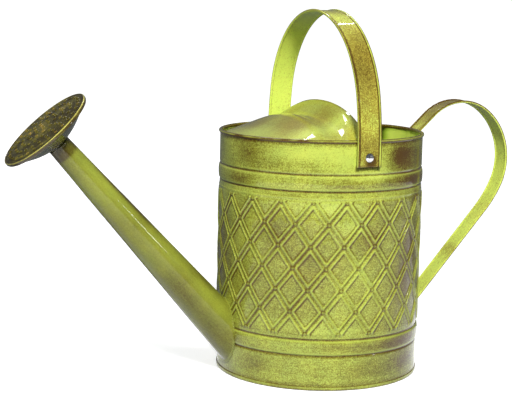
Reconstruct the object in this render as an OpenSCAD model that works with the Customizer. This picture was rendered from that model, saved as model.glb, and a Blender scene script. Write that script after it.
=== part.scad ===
// Galvanised sheet-metal watering can, painted: round body with swaged bands, half hood,
// straight tapered spout with a pull-off rose, swinging bail and fixed rear handle.
// Millimetres. +Z up, origin on the floor at the centre of the base.
// The spout points along -X, the rear handle along +X, the bail pivots lie on Y.

/* [Body] */
// outside diameter of the cylindrical wall
body_d = 200; // [120:1:300]
// height over the rolled rim
body_h = 238; // [150:1:350]
// sheet thickness used for every pressed piece
sheet_t = 0.7; // [0.5:0.1:1.5]
// height of the rolled rim
rim_d = 3.4; // [2.4:0.1:5]
// how far the base plate sits above the floor
base_recess = 4; // [2:0.5:8]
// how far the base seam stands out from the wall
seam_out = 0.8; // [0.7:0.1:1.5]

/* [Swaged bands] */
// height of the lower band's bottom groove
low_band_z = 33.3; // [20:0.1:60]
// height of the upper band's bottom groove
high_band_z = 189.3; // [120:0.1:220]
// height of each band between its two grooves
band_h = 15.9; // [8:0.1:25]
// how far each band bulges out
band_out = 1.1; // [0.4:0.1:2]
// how far the patterned zone between the bands stands out
panel_out = 0.8; // [0:0.1:1.5]
// depth of the grooves beside the bands
groove = 0.5; // [0.2:0.1:1]

/* [Hood] */
// height of the hood's peak above the rim
hood_rise = 29.3; // [15:0.1:50]
// how far the hood's edge sits below the top of the rim
hood_drop = 5.1; // [1:0.1:8]
// height of the flange that fixes the hood inside the wall
hood_flange = 2.5; // [2:0.5:8]

/* [Spout] */
// angle of the spout above the floor
spout_angle = 48.1; // [30:0.5:65]
// height where the spout's axis meets the wall
spout_z = 44; // [30:0.5:80]
// outside diameter where it meets the wall
spout_root_d = 41.6; // [25:0.5:60]
// outside diameter at the tip
spout_tip_d = 22; // [14:0.5:30]
// length along the axis from the wall to the tip
spout_l = 249.7; // [150:1:350]
// diameter of the water hole through the wall
outlet_d = 28; // [15:1:36]

/* [Rose] */
// outside diameter of the rose
rose_d = 94.6; // [50:0.5:120]
// length of the rose from the spout tip to its rim
rose_l = 20.4; // [12:0.5:40]
// height of the domed face
rose_dome = 3; // [1:0.5:8]
// length of the neck inside the spout
neck_l = 22; // [10:1:35]
// diameter of the sprinkler holes
rose_hole_d = 1.8; // [1:0.1:3]
// rings of sprinkler holes
rose_rings = 5; // [2:1:6]

/* [Straps] */
// width of the bail strap
bail_w = 25; // [15:0.5:35]
// width of the rear handle strap
handle_w = 22; // [15:0.5:35]
// diameter of the rolled strap edges
bead_d = 2.6; // [1.8:0.1:4]

/* [Bail] */
// height of the bail's crown above the floor
bail_top = 356.3; // [280:1:450]
// height of the bail's pivots
pivot_z = 222; // [150:1:230]
// distance from the pivots to the strap's lower ends
bail_tail = 9; // [7:0.5:15]
// distance between the middles of the two legs
bail_span = 207; // [205:0.5:230]
// part of each side, in degrees, that is the gentle lower curve
bail_lean = 10; // [5:1:25]

/* [Rear handle] */
// slope of the lower leg above the floor
leg_angle = 49; // [35:1:65]
// height where the lower leg would meet the wall
leg_z = 50.8; // [45:0.1:80]
// straight length of the lower leg
leg_l = 127; // [80:1:180]
// radius and sweep of the first bend, after the leg
bend1 = [123, 14]; // [5:1:300]
// radius and sweep of the second bend, at the back
bend2 = [63, 81]; // [5:1:300]
// radius and sweep of the third bend, over the top
bend3 = [48.9, 79]; // [5:1:300]

/* [Rivets] */
// shank diameter of every rivet
shank_d = 5; // [3:0.1:6]
// head diameter of every rivet
head_d = 8; // [6:0.1:12]
// height of the domed heads
head_h = 2.6; // [1.5:0.1:4]

/* [Hidden] */
$fn = 96;

body_r = body_d / 2;
rim_r = rim_d / 2;
bead_r = bead_d / 2;
fit = 0.05;               // running clearance on the radius
gap = 0.3;                // between faces that move past each other
rim_z = body_h - rim_r;
rim_c = body_r - sheet_t / 2;
leaf = [0.64, 0.68, 0.26];
lime = [0.74, 0.82, 0.34];
bronze = [0.42, 0.40, 0.22];
steel = [0.78, 0.78, 0.78];
zinc = [0.66, 0.68, 0.62];

// ---- body ----------------------------------------------------------------

// outline of one convex band with a groove on each side, as [radius, height]
function band(z0) = concat(
    [[body_r, z0 - 1.4], [body_r - groove, z0 - 0.5], [body_r - groove, z0 + 0.5]],
    [for (i = [1 : 7]) let (a = 180 * i / 8)
        [body_r - groove + (band_out + groove) * pow(sin(a), 0.7),
         z0 + 0.5 + (band_h - 1) * (1 - cos(a)) / 2]],
    [[body_r - groove, z0 + band_h - 0.5], [body_r - groove, z0 + band_h + 0.5]]
);

// outline of the wall's outside from the base up to the rim
wall_line = concat(
    [[body_r, base_recess * 0.2]],
    band(low_band_z),
    [[body_r + panel_out * 0.4, low_band_z + band_h + 1.4],
     [body_r + panel_out, low_band_z + band_h + 4],
     [body_r + panel_out, high_band_z - 4],
     [body_r + panel_out * 0.4, high_band_z - 1.6]],
    band(high_band_z),
    [[body_r, high_band_z + band_h + 1.4], [body_r, rim_z]]
);
wall_n = len(wall_line);

// the wall as a solid drum, grown outwards by g
module drum(g = 0) {
    rotate_extrude()
        polygon(concat([[0, wall_line[0][1]]],
                       [for (p = wall_line) [p[0] + g, p[1]]],
                       [[0, rim_z]]));
}

module body_shell() {
    color(leaf)
    difference() {
        rotate_extrude() difference() {
            union() {
                polygon(concat(wall_line,
                    [for (i = [wall_n - 1 : -1 : 0]) wall_line[i] - [sheet_t, 0]]));
                translate([rim_c, rim_z]) circle(r = rim_r);
            }
            translate([rim_c, rim_z]) circle(r = rim_r - sheet_t + 0.2);
        }
        on_spout(-12) cylinder(d = outlet_d, h = 30);
        for (s = [-1, 1]) translate([0, s * (body_r - 5), pivot_z])
            rotate([-90 * s, 0, 0]) cylinder(r = shank_d / 2 + fit, h = 10);
        for (z = [upper_rivet_z, lower_rivet_z]) translate([body_r - 5, 0, z])
            rotate([0, 90, 0]) cylinder(r = shank_d / 2 + fit, h = 10);
    }
}

module rim_wire() {
    color(zinc)
    rotate_extrude() translate([rim_c, rim_z]) circle(r = rim_r - sheet_t + 0.18);
}

// base plate folded round the wall's lower edge
module base_plate() {
    w = sheet_t;
    ri = body_r - w - 0.05;
    ro = body_r + seam_out;
    color(leaf)
    rotate_extrude()
        polygon([[0, base_recess], [ri - 0.6, base_recess], [ri - w, base_recess - 0.5],
                 [ri - w, 0.4], [ri - w + 0.4, 0], [ro - 0.5, 0], [ro, 0.5],
                 [ro, base_recess - 0.6], [ro - 0.3, base_recess], [body_r + 0.05, base_recess],
                 [body_r + 0.05, w], [ri, w], [ri, base_recess + 0.2],
                 [ri - 0.5, base_recess + w], [0, base_recess + w]]);
}

// ---- hood ----------------------------------------------------------------

hood_r = rim_c - rim_r - 0.15;
hood_z = body_h - hood_drop;
hood_h = hood_rise + hood_drop;
hood_cols = 36;
hood_rows = 24;

// height of the pressed shape at a point of the half disc, x <= 0, in units of the radius:
// a dome, flared up towards the open edge, with a shallow valley in front of the flare
function hood_shape(x, y) = let (q = max(0, 1 - x * x - y * y))
    (0.41 * q + 0.59 * pow(q, 0.54))
    * (0.26 + 0.74 * exp(-pow(x / 0.456, 2))
       - 0.37 * exp(-pow((x + 0.168 + 0.087 * y * y) / 0.138, 2)));
function hood_share(x, y) = hood_shape(x, y) / hood_shape(0, 0);

// point of the hood's top face: column i runs side to side, row j from the open edge
// to the front and down the flange
function hood_point(i, j) =
    let (a = 88 - 176 * i / hood_cols,
         v = j <= hood_rows ? sin(90 * j / hood_rows) : 1,
         x = -v * cos(a), y = sin(a))
    j <= hood_rows ? [hood_r * x, hood_r * y, hood_z + hood_h * hood_share(x, y)]
    : j == hood_rows + 1 ? [hood_r * x, hood_r * y, hood_z - 0.9]
    : let (r = body_r - sheet_t - 0.05)
      [r * x, r * y, hood_z - (j == hood_rows + 2 ? 3 : 3 + hood_flange)];

hood_top = hood_rows + 3;
function unit(v) = v / norm(v);
function hood_normal(i, j) = unit(cross(
    hood_point(min(i + 1, hood_cols), j) - hood_point(max(i - 1, 0), j),
    hood_point(i, min(j + 1, hood_top)) - hood_point(i, max(j - 1, 0))));

module hood() {
    nc = hood_cols + 1;
    nr = hood_top + 1;
    n = nc * nr;
    top = [for (j = [0 : hood_top]) for (i = [0 : hood_cols]) hood_point(i, j)];
    low = [for (j = [0 : hood_top]) for (i = [0 : hood_cols])
        hood_point(i, j) + sheet_t * hood_normal(i, j)];
    color(leaf)
    polyhedron(concat(top, low), concat(
        [for (j = [0 : nr - 2]) for (i = [0 : nc - 2]) let (k = j * nc + i)
            each [[k, k + 1, k + nc + 1], [k, k + nc + 1, k + nc]]],
        [for (j = [0 : nr - 2]) for (i = [0 : nc - 2]) let (k = n + j * nc + i)
            each [[k, k + nc + 1, k + 1], [k, k + nc, k + nc + 1]]],
        [for (i = [0 : nc - 2]) each [[i, n + i, n + i + 1], [i, n + i + 1, i + 1]]],
        [for (i = [0 : nc - 2]) let (k = (nr - 1) * nc + i)
            each [[k, k + 1, n + k + 1], [k, n + k + 1, n + k]]],
        [for (j = [0 : nr - 2]) let (k = j * nc)
            each [[k, k + nc, n + k + nc], [k, n + k + nc, n + k]]],
        [for (j = [0 : nr - 2]) let (k = j * nc + nc - 1)
            each [[k, n + k + nc, k + nc], [k, n + k, n + k + nc]]]
    ));
}

// ---- spout and rose --------------------------------------------------------

taper = (spout_root_d - spout_tip_d) / 2 / spout_l;
function spout_r(s) = spout_root_d / 2 - taper * s;

// children stand on the spout's axis, s millimetres out from the wall
module on_spout(s) {
    translate([-body_r, 0, spout_z])
        rotate([0, spout_angle - 90, 0])
            translate([0, 0, s]) children();
}

module spout_cone(g = 0, from = -30, to = spout_l) {
    on_spout(from) cylinder(r1 = spout_r(from) + g, r2 = spout_r(to) + g, h = to - from);
}

module spout_tube() {
    color(leaf)
    difference() {
        spout_cone();
        spout_cone(-sheet_t, -31, spout_l + 1);
        drum();
    }
}

module spout_solder() {
    color(lime)
    difference() {
        intersection() {
            spout_cone(2.4, -26, 60);
            drum(2);
        }
        spout_cone(0.02, -27, 61);
        drum();
    }
}

neck_r = spout_tip_d / 2 - sheet_t - 0.06;
module rose_neck() {
    color(leaf)
    on_spout(spout_l - neck_l)
        difference() {
            cylinder(r = neck_r, h = neck_l + 1.5);
            translate([0, 0, -1]) cylinder(r = neck_r - sheet_t, h = neck_l + 4);
        }
}

rose_r = rose_d / 2;
hem_h = 4;                // height of the rose's crimped rim
module rose_cone() {
    t = sheet_t;
    r0 = neck_r + 0.02;
    r1 = rose_r - 2.2;
    z1 = rose_l - hem_h + t;
    color(leaf)
    on_spout(spout_l)
        rotate_extrude()
            polygon([[r0, 0.3], [r0 + t + 0.2, 0.3], [r0 + t + 0.6, 1.4], [r0 + 9, 4.6],
                     [r0 + 20, 9], [r1, z1], [rose_r - t - 0.05, z1], [rose_r - t - 0.05, z1 + t],
                     [r1 - 0.4, z1 + t], [r0 + 19.6, 9 + t], [r0 + 8.6, 4.6 + t], [r0, 2]]);
}

// domed face whose edge is folded back over the cone's flange
module rose_face() {
    t = sheet_t;
    z1 = rose_l - hem_h;
    ri = rose_r - 2;
    ball = (ri * ri + rose_dome * rose_dome) / (2 * rose_dome);
    color(bronze)
    on_spout(spout_l) difference() {
        union() {
            intersection() {
                translate([0, 0, rose_l - t + rose_dome - ball])
                    difference() { sphere(r = ball); sphere(r = ball - t); }
                translate([0, 0, rose_l - 2 * t]) cylinder(r = ri, h = rose_dome + 4);
            }
            rotate_extrude()
                polygon([[ri - 0.3, rose_l - 2 * t], [ri - 0.3, rose_l - t], [ri + 0.5, rose_l],
                         [rose_r - 0.5, rose_l], [rose_r, rose_l - 0.6], [rose_r, z1 + 0.5],
                         [rose_r - 0.5, z1], [ri + 0.2, z1], [ri + 0.2, z1 + t - 0.02],
                         [rose_r - t, z1 + t - 0.02], [rose_r - t, rose_l - t - 0.3],
                         [ri, rose_l - 2 * t]]);
        }
        translate([0, 0, rose_l - 5]) {
            cylinder(d = rose_hole_d, h = rose_dome + 8);
            for (k = [1 : rose_rings], i = [0 : 6 * k - 1])
                rotate([0, 0, 60 * i / k + 7 * k])
                    translate([(ri - 5) * k / rose_rings, 0, 0])
                        cylinder(d = rose_hole_d, h = rose_dome + 8);
        }
    }
}

// ---- straps ----------------------------------------------------------------

// strap section: flat web with a rolled edge on each side, r out from a bend's centre,
// grown by g
module strap_section(w, r = 0, g = 0) {
    translate([r - sheet_t / 2 - g, -w / 2 + bead_r]) square([sheet_t + 2 * g, w - bead_d]);
    for (s = [-1, 1]) translate([r, s * (w / 2 - bead_r)]) circle(r = bead_r + g, $fn = 32);
}

// a run of straights [0, length] and bends [radius, sweep] in the XZ plane, heading +X
module strap_run(w, segs, i = 0) {
    if (i < len(segs)) {
        r = segs[i][0];
        a = segs[i][1];
        if (r == 0) {
            rotate([0, 90, 0]) linear_extrude(a) strap_section(w);
            translate([a, 0, 0]) strap_run(w, segs, i + 1);
        } else if (a > 0) {
            strap_bend(w, r, a) strap_run(w, segs, i + 1);
        } else {
            mirror([0, 0, 1]) strap_bend(w, r, -a) mirror([0, 0, 1]) strap_run(w, segs, i + 1);
        }
        // a hair-thin sleeve joins each segment to the next
        if (i > 0) translate([-0.15, 0, 0]) rotate([0, 90, 0])
            linear_extrude(0.3) strap_section(w, 0, 0.01);
    }
}
module strap_bend(w, r, a) {
    translate([0, 0, r]) rotate([0, 90, -90]) rotate_extrude(angle = a) strap_section(w, r);
    translate([r * sin(a), 0, r * (1 - cos(a))]) rotate([0, -a, 0]) children();
}

// travel of one segment that starts with heading h, and of a whole run
function seg_move(s, h) = s[0] == 0 ? s[1] * [cos(h), sin(h)]
    : sign(s[1]) * s[0] * [sin(h + s[1]) - sin(h), cos(h) - cos(h + s[1])];
function run_move(segs, h, i = 0) = i == len(segs) ? [0, 0]
    : seg_move(segs[i], h) + run_move(segs, h + (segs[i][0] == 0 ? 0 : segs[i][1]), i + 1);

// ---- bail ------------------------------------------------------------------

leg_y = bail_span / 2;
bail_rise = bail_top - bead_r - pivot_z;
cs = cos(bail_lean);
sn = sin(bail_lean);
// radii of the crown and of the lower curve that join the pivots to the crown's height
low_r = (bail_rise * cs - leg_y * (1 - sn)) / (sn * cs - (1 - cs) * (1 - sn));
crown_r = (leg_y - low_r * (1 - cs)) / cs;

module bail_strap() {
    hole = shank_d / 2 + fit;
    color(leaf)
    difference() {
        translate([0, leg_y, pivot_z - bail_tail]) rotate([0, 0, 90]) rotate([0, -90, 0])
            strap_run(bail_w, [[0, bail_tail], [low_r, bail_lean],
                               [crown_r, 180 - 2 * bail_lean],
                               [low_r, bail_lean], [0, bail_tail]]);
        translate([0, -leg_y - 5, pivot_z]) rotate([-90, 0, 0])
            cylinder(r = hole, h = bail_span + 10);
    }
}

// rivet along +Z: dome on top of z = 0, shank down to -l, clinched tail below
module rivet(l) {
    ball = (head_d * head_d / 4 + head_h * head_h) / (2 * head_h);
    intersection() {
        translate([0, 0, head_h - ball]) sphere(r = ball);
        cylinder(d = head_d + 1, h = head_h + 1);
    }
    translate([0, 0, -l]) cylinder(d = shank_d, h = l + 0.2);
    translate([0, 0, -l - 1.6]) cylinder(d1 = shank_d + 0.6, d2 = shank_d + 2, h = 1.6);
}

// the left side is -Y, the right side +Y, seen from behind the spout
module at_pivot(side) {
    translate([0, side * body_r, pivot_z]) rotate([-90 * side, 0, 0]) children();
}
pin_out = leg_y - body_r + sheet_t / 2 + gap;
washer_t = 1.2;
pin_in = sheet_t + washer_t + 0.15;

module bail_rivet(side) {
    color(steel) at_pivot(side) translate([0, 0, pin_out]) rivet(pin_out + pin_in);
}
module bail_rivet_left() bail_rivet(-1);
module bail_rivet_right() bail_rivet(1);

module bail_spacer(side) {
    color(zinc)
    difference() {
        at_pivot(side) translate([0, 0, -2])
            cylinder(r = 5, h = 2 + leg_y - body_r - sheet_t / 2 - gap);
        at_pivot(side) translate([0, 0, -3]) cylinder(r = shank_d / 2 + fit, h = 12);
        translate([0, 0, pivot_z - 10]) cylinder(r = body_r + 0.02, h = 20, $fn = 720);
    }
}
module bail_spacer_left() bail_spacer(-1);
module bail_spacer_right() bail_spacer(1);

// washer inside the wall, under a rivet's tail; the child places it with +Z outwards
module wall_washer() {
    intersection() {
        children();
        translate([0, 0, 1]) cylinder(r = body_r - sheet_t - 0.02, h = body_h, $fn = 720);
    }
}
module washer() {
    translate([0, 0, -sheet_t - washer_t - 0.1]) difference() {
        cylinder(r = 6, h = washer_t + 0.8);
        translate([0, 0, -1]) cylinder(r = shank_d / 2 + fit, h = 5);
    }
}
module bail_washer_left() { color(zinc) wall_washer() at_pivot(-1) washer(); }
module bail_washer_right() { color(zinc) wall_washer() at_pivot(1) washer(); }

// ---- rear handle -----------------------------------------------------------

foot_x = body_r + band_out + bead_r - 0.4;   // middle of the lower tab
head_x = body_r + bead_r - 0.4;              // middle of the upper tab
foot_bend = 6;
head_bend = 5;
foot_l = 20;
head_l = 16;
turn = 90 - leg_angle;
// where the lower tab ends and the first bend starts
foot_z = leg_z + (foot_x + foot_bend * (1 - cos(turn)) - body_r) * tan(leg_angle)
    - foot_bend * sin(turn);
arcs = [[0, leg_l], bend1, bend2, bend3];
top_h = leg_angle + bend1[1] + bend2[1] + bend3[1];
start = [foot_x + foot_bend * (1 - cos(turn)), foot_z + foot_bend * sin(turn)];
top_end = start + run_move(arcs, leg_angle);
neck_in = [0, (top_end[0] - head_x + head_bend * (-1 - sin(top_h))) / -cos(top_h)];
head_start = top_end + run_move([neck_in, [head_bend, 270 - top_h]], top_h);
upper_rivet_z = head_start[1] - 9;
lower_rivet_z = low_band_z + band_h / 2;

module rear_handle() {
    color(leaf)
    difference() {
        translate([foot_x, 0, foot_z - foot_l]) rotate([0, -90, 0])
            strap_run(handle_w, concat([[0, foot_l], [foot_bend, -turn]], arcs,
                                       [neck_in, [head_bend, 270 - top_h], [0, head_l]]));
        for (z = [upper_rivet_z, lower_rivet_z]) translate([body_r - 5, 0, z])
            rotate([0, 90, 0]) cylinder(r = shank_d / 2 + fit, h = 12);
    }
}

module at_tab(z) { translate([body_r, 0, z]) rotate([0, 90, 0]) children(); }
module handle_rivet(x, z) {
    out = x - body_r + sheet_t / 2 + 0.02;
    color(steel) at_tab(z) translate([0, 0, out]) rivet(out + pin_in);
}
module handle_rivet_upper() handle_rivet(head_x, upper_rivet_z);
module handle_rivet_lower() handle_rivet(foot_x, lower_rivet_z);
module handle_washer_upper() { color(zinc) wall_washer() at_tab(upper_rivet_z) washer(); }
module handle_washer_lower() { color(zinc) wall_washer() at_tab(lower_rivet_z) washer(); }

// ---- assembly ----------------------------------------------------------------

body_shell();
rim_wire();
base_plate();
hood();
spout_tube();
spout_solder();
rose_neck();
rose_cone();
rose_face();
bail_strap();
bail_rivet_left();
bail_rivet_right();
bail_spacer_left();
bail_spacer_right();
bail_washer_left();
bail_washer_right();
rear_handle();
handle_rivet_upper();
handle_rivet_lower();
handle_washer_upper();
handle_washer_lower();
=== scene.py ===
"""Painted watering can: the detailed visual model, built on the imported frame.

Lengths in the build functions are millimetres in the frame's axes (+Z up, spout towards -X,
rear handle towards +X, bail pivots on Y). They become metres when a mesh is made.
"""

import math

import bpy
import numpy as np
from mathutils import Matrix, Vector


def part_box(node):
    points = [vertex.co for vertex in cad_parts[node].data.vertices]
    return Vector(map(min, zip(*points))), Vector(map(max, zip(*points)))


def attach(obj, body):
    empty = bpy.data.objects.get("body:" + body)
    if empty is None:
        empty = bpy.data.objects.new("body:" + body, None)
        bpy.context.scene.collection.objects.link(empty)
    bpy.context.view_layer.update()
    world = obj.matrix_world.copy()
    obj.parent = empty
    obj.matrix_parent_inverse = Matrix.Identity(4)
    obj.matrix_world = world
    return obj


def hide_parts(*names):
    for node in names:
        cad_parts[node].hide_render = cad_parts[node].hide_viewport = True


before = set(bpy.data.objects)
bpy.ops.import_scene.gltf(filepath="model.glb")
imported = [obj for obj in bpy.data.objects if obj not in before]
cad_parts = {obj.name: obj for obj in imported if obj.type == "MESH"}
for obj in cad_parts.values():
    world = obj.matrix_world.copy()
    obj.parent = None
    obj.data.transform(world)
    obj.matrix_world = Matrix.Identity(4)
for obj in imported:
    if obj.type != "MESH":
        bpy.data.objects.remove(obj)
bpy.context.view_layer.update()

MM = 0.001
SHEET = 0.7  # thickness of all the sheet metal
BODY_R, BODY_TOP = 100.0, 238.0
RIM_R = 1.7  # the rolled rim's own radius
RIM_C = BODY_R - SHEET / 2  # where its centre runs, and how high
RIM_Z = BODY_TOP - RIM_R


# ---- numbers ----


def rgb(r, g, b):
    """Linear colour from 8-bit display values."""
    return tuple(
        c / 12.92 if c <= 0.04045 else ((c + 0.055) / 1.055) ** 2.4
        for c in (r / 255, g / 255, b / 255)
    ) + (1.0,)


def smooth(x, lo, hi):
    """0 below lo, 1 above hi, and a soft step between them."""
    t = np.clip((x - lo) / (hi - lo), 0, 1)
    return t * t * (3 - 2 * t)


def bell(x, width):
    """1 at x = 0, fading to nothing within about twice width."""
    return np.exp(-((x / width) ** 2))


def soft_min(a, b, k):
    """The smaller of a and b, with the corner between them rounded over about k."""
    h = np.clip(0.5 + 0.5 * (b - a) / k, 0, 1)
    return b + (a - b) * h - k * h * (1 - h)


def unit(v):
    return v / (np.linalg.norm(v, axis=-1, keepdims=True) + 1e-12)


def hash3(i, j, k, seed):
    """A fixed number from 0 to 1 for each whole-number place."""
    n = (i * 73856093) ^ (j * 19349663) ^ (k * 83492791) ^ (seed * 2654435761)
    n = (n ^ (n >> 13)) * 1274126177
    return ((n ^ (n >> 16)) & 0xFFFF) / 65535.0


def value_noise(p, size, seed=0):
    """Smooth noise from 0 to 1 at points p (..., 3), with features about size across."""
    q = np.asarray(p, float) / size + 512.0
    i = np.floor(q).astype(np.int64)
    f = q - i
    f = f * f * (3 - 2 * f)
    total = np.zeros(q.shape[:-1])
    for dx in (0, 1):
        for dy in (0, 1):
            for dz in (0, 1):
                w = (
                    (f[..., 0] if dx else 1 - f[..., 0])
                    * (f[..., 1] if dy else 1 - f[..., 1])
                    * (f[..., 2] if dz else 1 - f[..., 2])
                )
                total += w * hash3(i[..., 0] + dx, i[..., 1] + dy, i[..., 2] + dz, seed)
    return total


def uneven(p, size, seed):
    """The same noise, from -0.5 to 0.5."""
    return value_noise(p, size, seed) - 0.5


# ---- meshes ----


def grid_mesh(name, pts, close=False, glaze_and_shade=0.0, worn=0.0, grain=None, normals=None,
              keep=None, flip=False, parts=None):
    """A smooth mesh from a grid of points, rows x columns x 3, in millimetres.

    close joins the last column to the first. glaze says how much brown glaze each point has,
    and in a few places how much painted shade; worn says how much rubbed paint, grain is the
    brush direction's coordinates.
    flip turns the faces over, parts gives several such grids for one mesh.
    """
    surfaces = parts or [dict(pts=pts, close=close, glaze_and_shade=glaze_and_shade, worn=worn, grain=grain,
                              keep=keep, flip=flip)]
    co, quads, g_all, w_all, s_all = [], [], [], [], []
    base = 0
    for s in surfaces:
        p = np.asarray(s["pts"], float)
        rows, cols = p.shape[:2]
        idx = np.arange(rows * cols).reshape(rows, cols) + base
        if s.get("close"):
            idx = np.concatenate([idx, idx[:, :1]], 1)
        q = np.stack([idx[:-1, :-1], idx[:-1, 1:], idx[1:, 1:], idx[1:, :-1]], -1)
        if s.get("keep") is not None:
            q = q[np.asarray(s["keep"], bool)]
        q = q.reshape(-1, 4)
        quads.append(q[:, ::-1] if s.get("flip") else q)
        co.append(p.reshape(-1, 3))
        shape = (rows, cols)
        g_all.append(np.broadcast_to(s.get("glaze_and_shade", 0.0), shape).ravel())
        w_all.append(np.broadcast_to(s.get("worn", 0.0), shape).ravel())
        grain_here = s.get("grain")
        s_all.append((p if grain_here is None else np.asarray(grain_here, float)).reshape(-1, 3))
        base += rows * cols
    co = np.concatenate(co)
    quads = np.concatenate(quads)
    mesh = bpy.data.meshes.new(name)
    mesh.vertices.add(len(co))
    mesh.vertices.foreach_set("co", (co * MM).astype(np.float32).ravel())
    mesh.loops.add(quads.size)
    mesh.loops.foreach_set("vertex_index", quads.astype(np.int32).ravel())
    mesh.polygons.add(len(quads))
    mesh.polygons.foreach_set("loop_start", np.arange(0, quads.size, 4, dtype=np.int32))
    mesh.update(calc_edges=True)
    mesh.validate(clean_customdata=False)
    for label, data in (("glaze_and_shade", g_all), ("worn", w_all)):
        mesh.attributes.new(label, "FLOAT", "POINT").data.foreach_set(
            "value", np.concatenate(data).astype(np.float32))
    for label, data in (("grain", np.concatenate(s_all)), ("place", co)):
        mesh.attributes.new(label, "FLOAT_VECTOR", "POINT").data.foreach_set(
            "vector", data.astype(np.float32).ravel())
    mesh.shade_smooth()
    if normals is not None:
        mesh.normals_split_custom_set_from_vertices(
            np.asarray(normals, float).reshape(-1, 3).tolist())
    obj = bpy.data.objects.new(name, mesh)
    bpy.context.scene.collection.objects.link(obj)
    return obj


def piece(obj, body, material, slot, *nodes):
    """Gives a new piece its material and its body, and hides the CAD nodes that it stands for.
    """
    obj.data.materials.append(material)
    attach(obj, body)
    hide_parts(*nodes)


def lathe(profile, cols):
    """Points (rows x cols x 3) of a profile [(radius, height)] turned about Z."""
    prof = np.asarray(profile, float)
    a = np.linspace(0, 2 * np.pi, cols, endpoint=False)
    r = prof[:, :1]
    return np.stack([r * np.cos(a), r * np.sin(a),
                     np.broadcast_to(prof[:, 1:2], (len(prof), cols))], -1)


def rounded(points, radius, steps=4):
    """A polyline with its inner corners rounded."""
    pts = [np.array(p, float) for p in points]
    out = [pts[0]]
    for a, b, c in zip(pts, pts[1:], pts[2:]):
        u, v = a - b, c - b
        lu, lv = np.linalg.norm(u), np.linalg.norm(v)
        d = min(radius, 0.45 * lu, 0.45 * lv)
        p0, p1 = b + u / lu * d, b + v / lv * d
        for t in np.linspace(0, 1, steps + 1):
            out.append((1 - t) ** 2 * p0 + 2 * t * (1 - t) * b + t * t * p1)
    out.append(pts[-1])
    return np.array(out)


def refine(profile, step):
    """A polyline with points added so that no step is longer than step."""
    out = [profile[0]]
    for a, b in zip(profile, profile[1:]):
        n = max(1, int(math.ceil(np.linalg.norm(np.subtract(b, a)) / step)))
        for i in range(1, n + 1):
            out.append(np.asarray(a) + (np.asarray(b) - np.asarray(a)) * i / n)
    return np.array(out)


# ---- materials ----


class Nodes:
    """Short names for the nodes of one material."""

    def __init__(self, name):
        self.mat = bpy.data.materials.new(name)
        self.mat.use_nodes = True
        self.tree = self.mat.node_tree
        self.tree.nodes.clear()

    def add(self, kind, sockets, **settings):
        """A node whose input sockets take values or the outputs of other nodes."""
        n = self.tree.nodes.new(kind)
        for k, v in settings.items():
            setattr(n, k, v)
        for k, v in sockets.items():
            if isinstance(v, bpy.types.NodeSocket):
                self.tree.links.new(v, n.inputs[k])
            else:
                n.inputs[k].default_value = v
        return n

    def attribute(self, name, vector=False):
        n = self.add("ShaderNodeAttribute", {}, attribute_name=name)
        return n.outputs["Vector" if vector else "Fac"]

    def coordinates(self):
        return self.add("ShaderNodeTexCoord", {}).outputs["Object"]

    def noise(self, vector, scale, detail=2.0, rough=0.55):
        sockets = {"Vector": vector, "Scale": scale, "Detail": detail, "Roughness": rough}
        return self.add("ShaderNodeTexNoise", sockets).outputs["Fac"]

    def math(self, op, *values):
        return self.add("ShaderNodeMath", dict(enumerate(values)), operation=op).outputs[0]

    def ramp(self, v, lo, hi, to_lo=0.0, to_hi=1.0):
        sockets = {"Value": v, "From Min": lo, "From Max": hi, "To Min": to_lo, "To Max": to_hi}
        return self.add("ShaderNodeMapRange", sockets,
                        interpolation_type="SMOOTHSTEP").outputs["Result"]

    def mix(self, fac, a, b, blend="MIX"):
        return self.add("ShaderNodeMix", {0: fac, 6: a, 7: b}, data_type="RGBA",
                        blend_type=blend).outputs[2]

    def bump(self, height, distance, strength):
        sockets = {"Height": height, "Distance": distance, "Strength": strength}
        return self.add("ShaderNodeBump", sockets).outputs["Normal"]

    def finish(self, **inputs):
        s = self.add("ShaderNodeBsdfPrincipled",
                     {k.replace("_", " "): v for k, v in inputs.items()})
        self.add("ShaderNodeOutputMaterial", {0: s.outputs[0]})
        return self.mat


def paint(name, clean, body, brown, blotch, streak, speck, bias=0.0, gloss=0.045, coat=1.0,
          coat_ior=1.36):
    """Lime enamel, wiped over with a brown glaze that stays in the hollows, and lacquered. The
    glaze attribute also darkens a few places with painted shade.

    clean, body and brown are the colours under no, some and thick glaze. blotch, streak and
    speck say how much large clouds, brush marks and fine grit vary the glaze, bias adds to it
    everywhere. The last three set the lacquer.
    """
    n = Nodes(name)
    place = n.attribute("place", True)
    grain = n.attribute("grain", True)
    cloud = n.noise(place, 1 / 42, 3.0)
    brush = n.noise(grain, 1.0, 3.0, 0.6)
    grit = n.noise(place, 0.85, 4.0, 0.8)
    coarse = n.noise(place, 0.36, 2.0, 0.6)

    amount = n.math("ADD", n.attribute("glaze_and_shade"), bias)
    for tex, k in ((cloud, blotch), (brush, streak), (grit, speck), (coarse, speck * 0.22)):
        amount = n.math("MULTIPLY_ADD", n.math("SUBTRACT", tex, 0.5), k * 2, amount)
    film = n.ramp(amount, 0.0, 0.62)
    thick = n.ramp(amount, 0.42, 1.12)
    rub = n.math("MULTIPLY", n.attribute("worn"), n.ramp(coarse, 0.2, 0.6, 0.55, 1.0))

    colour = n.mix(film, clean, body)
    colour = n.mix(thick, colour, brown)
    colour = n.mix(n.math("MULTIPLY", rub, 0.85), colour, clean)
    tint = n.ramp(n.noise(place, 1 / 17, 2.0), 0.25, 0.75, 0.0, 1.0)
    colour = n.mix(0.16, colour, n.mix(tint, rgb(226, 228, 112), rgb(120, 150, 48)), "OVERLAY")

    skin = n.bump(grit, 0.00006, 0.5)
    peel = n.bump(n.noise(place, 0.2, 1.0), 0.00009, 0.5)
    return n.finish(
        Base_Color=colour,
        Roughness=n.ramp(grit, 0.2, 0.8, 0.34, 0.52),
        Normal=skin,
        Coat_Normal=peel,
        Coat_Weight=coat,
        Coat_Roughness=gloss,
        Coat_IOR=coat_ior,
        Specular_IOR_Level=0.2,
    )


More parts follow.
